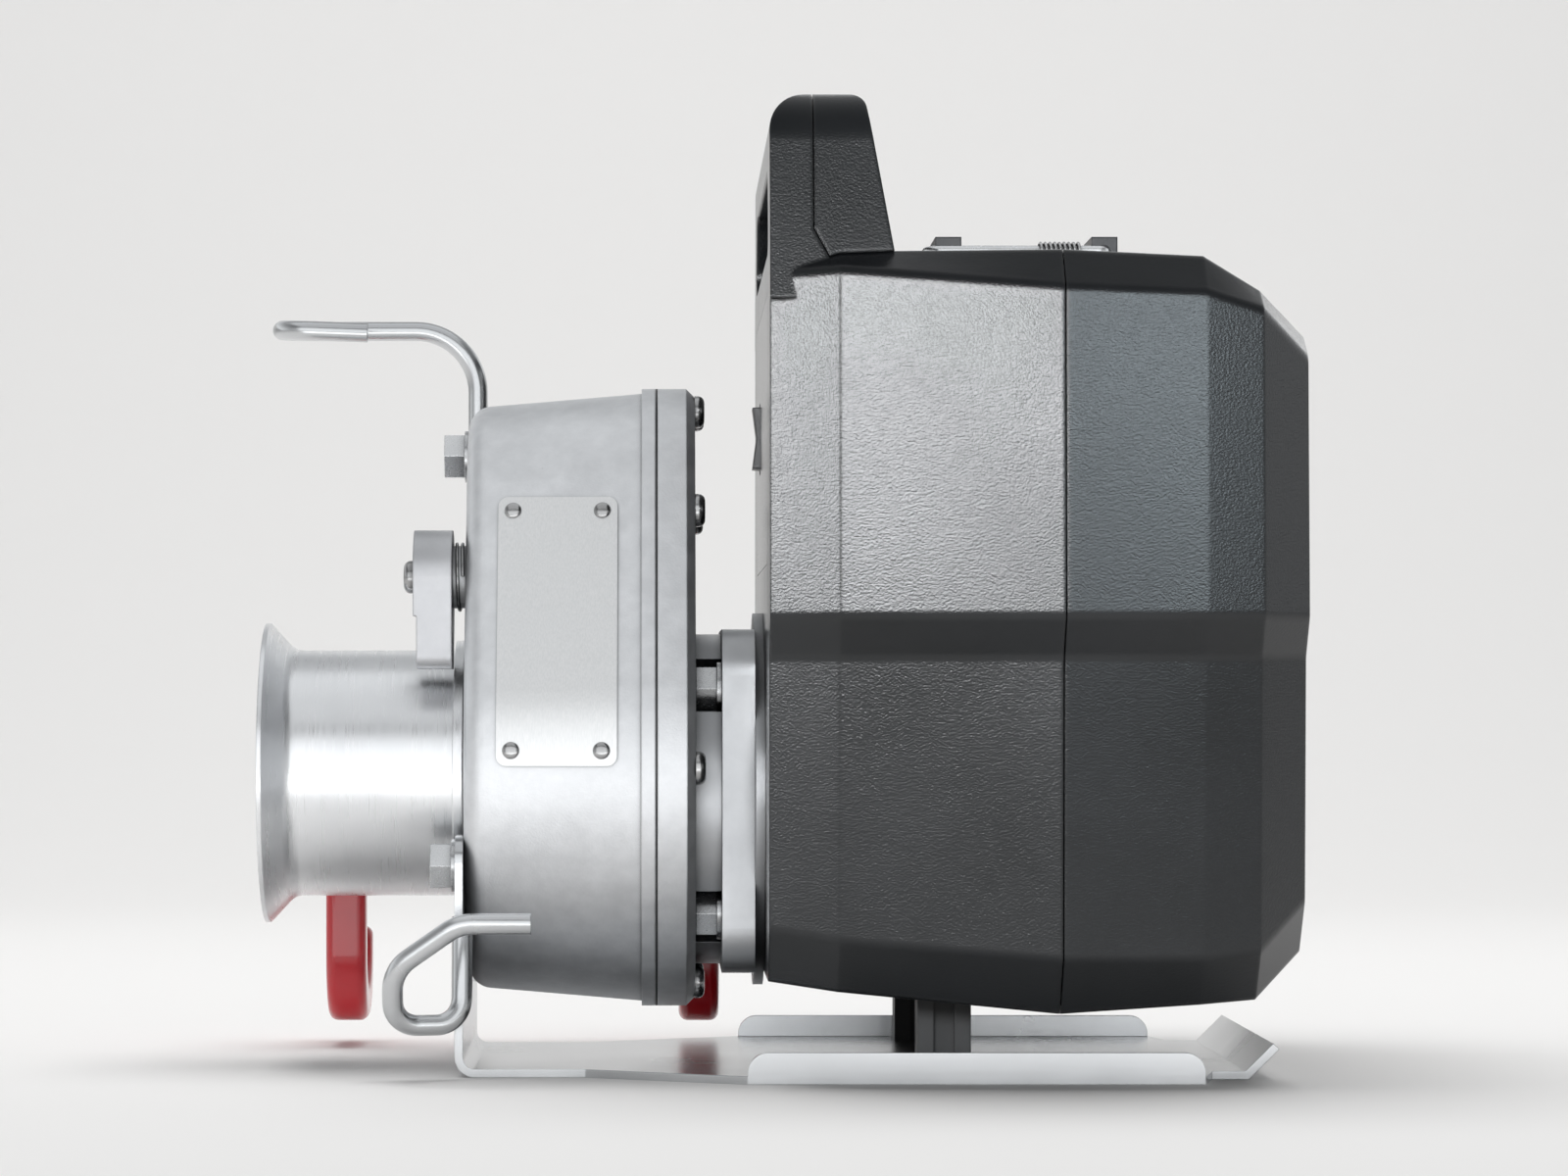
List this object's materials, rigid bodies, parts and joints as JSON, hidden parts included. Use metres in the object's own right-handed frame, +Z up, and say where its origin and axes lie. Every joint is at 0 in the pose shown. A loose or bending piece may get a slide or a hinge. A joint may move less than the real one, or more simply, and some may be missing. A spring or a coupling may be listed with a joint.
{
  "type": "capstan winch",
  "caption": "Battery capstan winch: flanged rope drum on a cast gear case, black battery housing with a carry handle, bent skid plate, rope guide rods, rope lock and swinging hooks.",
  "frame": {"origin": "underside of the skid plate, on the middle plane, below the split between gear case and cover", "axes": "+X from the drum towards the battery housing, +Y to the side with the anchor hooks, +Z up"},
  "size_m": [0.3121, 0.2598, 0.29],
  "materials": {
    "cast_aluminium": "satin as-cast",
    "drum_aluminium": "polished",
    "machined_aluminium": "satin machined",
    "nameplate_aluminium": "brushed, bare",
    "zinc_steel": "zinc plated",
    "polished_steel": "bright",
    "dark_steel": "dark satin",
    "gear_steel": "ground and oiled",
    "bearing_steel": "ground",
    "spring_steel": "bright",
    "lock_steel": "satin",
    "housing_plastic": "fine grain",
    "latch_plastic": "satin",
    "panel_plastic": "gloss",
    "battery_plastic": "satin",
    "black_rubber": "matte",
    "hook_red": "gloss red",
    "winding_copper": "varnished",
    "rotor_iron": "matte"
  },
  "bodies": {
    "frame": {"gear_case": "cast_aluminium", "case_gasket": "black_rubber", "gear_cover": "cast_aluminium", "cover_screws": "dark_steel", "case_plug": "zinc_steel", "nameplate": "nameplate_aluminium", "nameplate_rivets": "dark_steel", "drum_front_bearing": "bearing_steel", "drum_rear_bearing": "bearing_steel", "drum_seal": "black_rubber", "shaft_bearings": "bearing_steel", "bearing_bridge": "machined_aluminium", "bridge_screws": "dark_steel", "motor_adapter": "machined_aluminium", "adapter_screws": "dark_steel", "adapter_bolts": "zinc_steel", "motor_plate": "machined_aluminium", "motor_can": "machined_aluminium", "motor_stator": "winding_copper", "front_shell": "housing_plastic", "rear_shell": "housing_plastic", "handle_cover": "housing_plastic", "front_panel": "panel_plastic", "battery_dock": "battery_plastic", "battery_pack": "battery_plastic", "controller": "machined_aluminium", "latch_keeper": "latch_plastic", "latch_base": "latch_plastic", "skid_plate": "polished_steel", "skid_bolts": "zinc_steel", "support_posts": "black_rubber", "rope_guide": "polished_steel", "rope_exit_hook": "polished_steel", "lock_screw": "dark_steel", "lock_spring": "spring_steel", "anchor_bar": "zinc_steel", "anchor_bolts": "zinc_steel"},
    "capstan": {"drum": "drum_aluminium", "drum_shaft": "gear_steel", "drum_keys": "gear_steel", "drum_nut": "zinc_steel", "drum_gear": "gear_steel"},
    "second_stage": {"second_shaft": "gear_steel", "second_gear": "gear_steel"},
    "first_stage": {"first_shaft": "gear_steel", "first_gear": "gear_steel"},
    "motor": {"motor_shaft": "gear_steel", "motor_rotor": "rotor_iron", "motor_pinion": "gear_steel", "cooling_fan": "battery_plastic"},
    "lock": {"rope_lock": "lock_steel"},
    "bail": {"latch_bail": "zinc_steel", "latch_springs": "spring_steel"},
    "rocker": {"power_rocker": "latch_plastic"},
    "hook_a": {"front_hook": "hook_red", "front_hook_pin": "zinc_steel"},
    "hook_a_latch": {"front_hook_latch": "zinc_steel"},
    "hook_b": {"rear_hook": "hook_red", "rear_hook_pin": "zinc_steel"},
    "hook_b_latch": {"rear_hook_latch": "zinc_steel"}
  },
  "joints": [
    {"name": "drum_spin", "type": "hinge", "parent": "frame", "child": "capstan", "pos_m": [0, 0, 0.09], "axis": [1, 0, 0], "continuous": true},
    {"name": "second_shaft_spin", "type": "hinge", "parent": "frame", "child": "second_stage", "pos_m": [0, 0, 0.16], "axis": [1, 0, 0], "continuous": true},
    {"name": "first_shaft_spin", "type": "hinge", "parent": "frame", "child": "first_stage", "pos_m": [0, 0, 0.121], "axis": [1, 0, 0], "continuous": true},
    {"name": "motor_spin", "type": "hinge", "parent": "frame", "child": "motor", "pos_m": [0, 0, 0.082], "axis": [1, 0, 0], "continuous": true},
    {"name": "rope_lock_tilt", "type": "hinge", "parent": "frame", "child": "lock", "pos_m": [-0.0674, -0.03, 0.15], "axis": [1, 0, 0], "range_deg": [-60, 0], "stiffness_Nm_per_rad": 0.08, "springref_deg": 17.19},
    {"name": "latch_bail_lift", "type": "hinge", "parent": "frame", "child": "bail", "pos_m": [0.138, 0, 0.2505], "axis": [0, 1, 0], "range_deg": [0, 100]},
    {"name": "rocker_tilt", "type": "hinge", "parent": "frame", "child": "rocker", "pos_m": [0.039, 0.03, 0.195], "axis": [0, 1, 0], "range_deg": [-8, 8]},
    {"name": "front_hook_swing", "type": "hinge", "parent": "frame", "child": "hook_a", "pos_m": [-0.1, 0.0885, 0.09], "axis": [1, 0, 0], "range_deg": [-5, 100]},
    {"name": "rear_hook_swing", "type": "hinge", "parent": "frame", "child": "hook_b", "pos_m": [0.014, 0.0885, 0.09], "axis": [1, 0, 0], "range_deg": [0, 100]},
    {"name": "front_hook_latch_push", "type": "hinge", "parent": "hook_a", "child": "hook_a_latch", "pos_m": [-0.1, 0.0955, 0.068], "axis": [1, 0, 0], "range_deg": [-22, 0], "stiffness_Nm_per_rad": 0.02, "springref_deg": 17.19},
    {"name": "rear_hook_latch_push", "type": "hinge", "parent": "hook_b", "child": "hook_b_latch", "pos_m": [0.014, 0.0955, 0.068], "axis": [1, 0, 0], "range_deg": [-22, 0], "stiffness_Nm_per_rad": 0.02, "springref_deg": 17.19}
  ],
  "couplings": [
    {"joint": "second_shaft_spin", "follows": "drum_spin", "ratio": -4.0909},
    {"joint": "first_shaft_spin", "follows": "drum_spin", "ratio": 13.636},
    {"joint": "motor_spin", "follows": "drum_spin", "ratio": -45.455}
  ]
}
